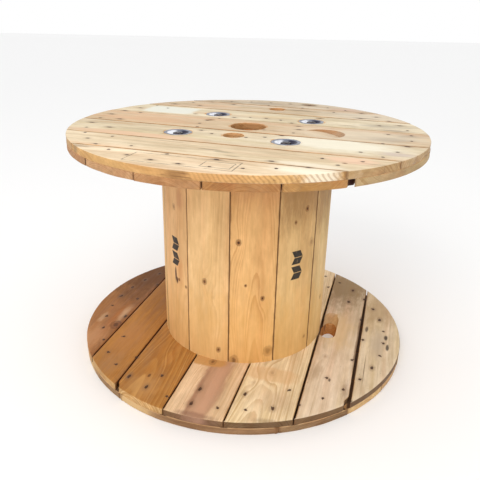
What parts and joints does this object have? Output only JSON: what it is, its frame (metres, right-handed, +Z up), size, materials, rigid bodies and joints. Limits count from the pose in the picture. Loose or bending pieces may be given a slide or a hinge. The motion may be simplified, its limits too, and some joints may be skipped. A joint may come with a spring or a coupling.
{
  "type": "wooden cable drum",
  "caption": "Wooden cable drum standing on end: two crossed-board flanges, a barrel of upright staves, tie bolts with dished washers, and spindle, driving and cable holes.",
  "frame": {"origin": "middle of the face that the drum stands on", "axes": "+Z up along the drum's axis, +X to the right and -Y to the front as it stands"},
  "size_m": [1, 1, 0.668],
  "materials": {
    "flange_pine": "sawn pine, dry and a little weathered",
    "stave_pine": "planed pine, honey coloured",
    "washer_steel": "zinc plated, dulled",
    "bolt_steel": "zinc plated, dirty",
    "nail_steel": "rusted"
  },
  "bodies": {
    "root": {"bottom_outer_board_1": "flange_pine", "bottom_outer_board_2": "flange_pine", "bottom_outer_board_3": "flange_pine", "bottom_outer_board_4": "flange_pine", "bottom_outer_board_5": "flange_pine", "bottom_outer_board_6": "flange_pine", "bottom_outer_board_7": "flange_pine", "bottom_outer_board_8": "flange_pine", "bottom_inner_board_1": "flange_pine", "bottom_inner_board_2": "flange_pine", "bottom_inner_board_3": "flange_pine", "bottom_inner_board_4": "flange_pine", "bottom_inner_board_5": "flange_pine", "bottom_inner_board_6": "flange_pine", "bottom_inner_board_7": "flange_pine", "top_inner_board_1": "flange_pine", "top_inner_board_2": "flange_pine", "top_inner_board_3": "flange_pine", "top_inner_board_4": "flange_pine", "top_inner_board_5": "flange_pine", "top_inner_board_6": "flange_pine", "top_inner_board_7": "flange_pine", "top_outer_board_1": "flange_pine", "top_outer_board_2": "flange_pine", "top_outer_board_3": "flange_pine", "top_outer_board_4": "flange_pine", "top_outer_board_5": "flange_pine", "top_outer_board_6": "flange_pine", "top_outer_board_7": "flange_pine", "stave_1": "stave_pine", "stave_2": "stave_pine", "stave_3": "stave_pine", "stave_4": "stave_pine", "stave_5": "stave_pine", "stave_6": "stave_pine", "stave_7": "stave_pine", "stave_8": "stave_pine", "stave_9": "stave_pine", "stave_10": "stave_pine", "stave_11": "stave_pine", "stave_12": "stave_pine", "bottom_washer_1": "washer_steel", "bottom_washer_2": "washer_steel", "bottom_washer_3": "washer_steel", "bottom_washer_4": "washer_steel", "top_washer_1": "washer_steel", "top_washer_2": "washer_steel", "top_washer_3": "washer_steel", "top_washer_4": "washer_steel", "tie_bolt_1": "bolt_steel", "tie_bolt_2": "bolt_steel", "tie_bolt_3": "bolt_steel", "tie_bolt_4": "bolt_steel", "nut_1": "bolt_steel", "nut_2": "bolt_steel", "nut_3": "bolt_steel", "nut_4": "bolt_steel", "bottom_nails": "nail_steel", "top_nails": "nail_steel"}
  },
  "joints": []
}
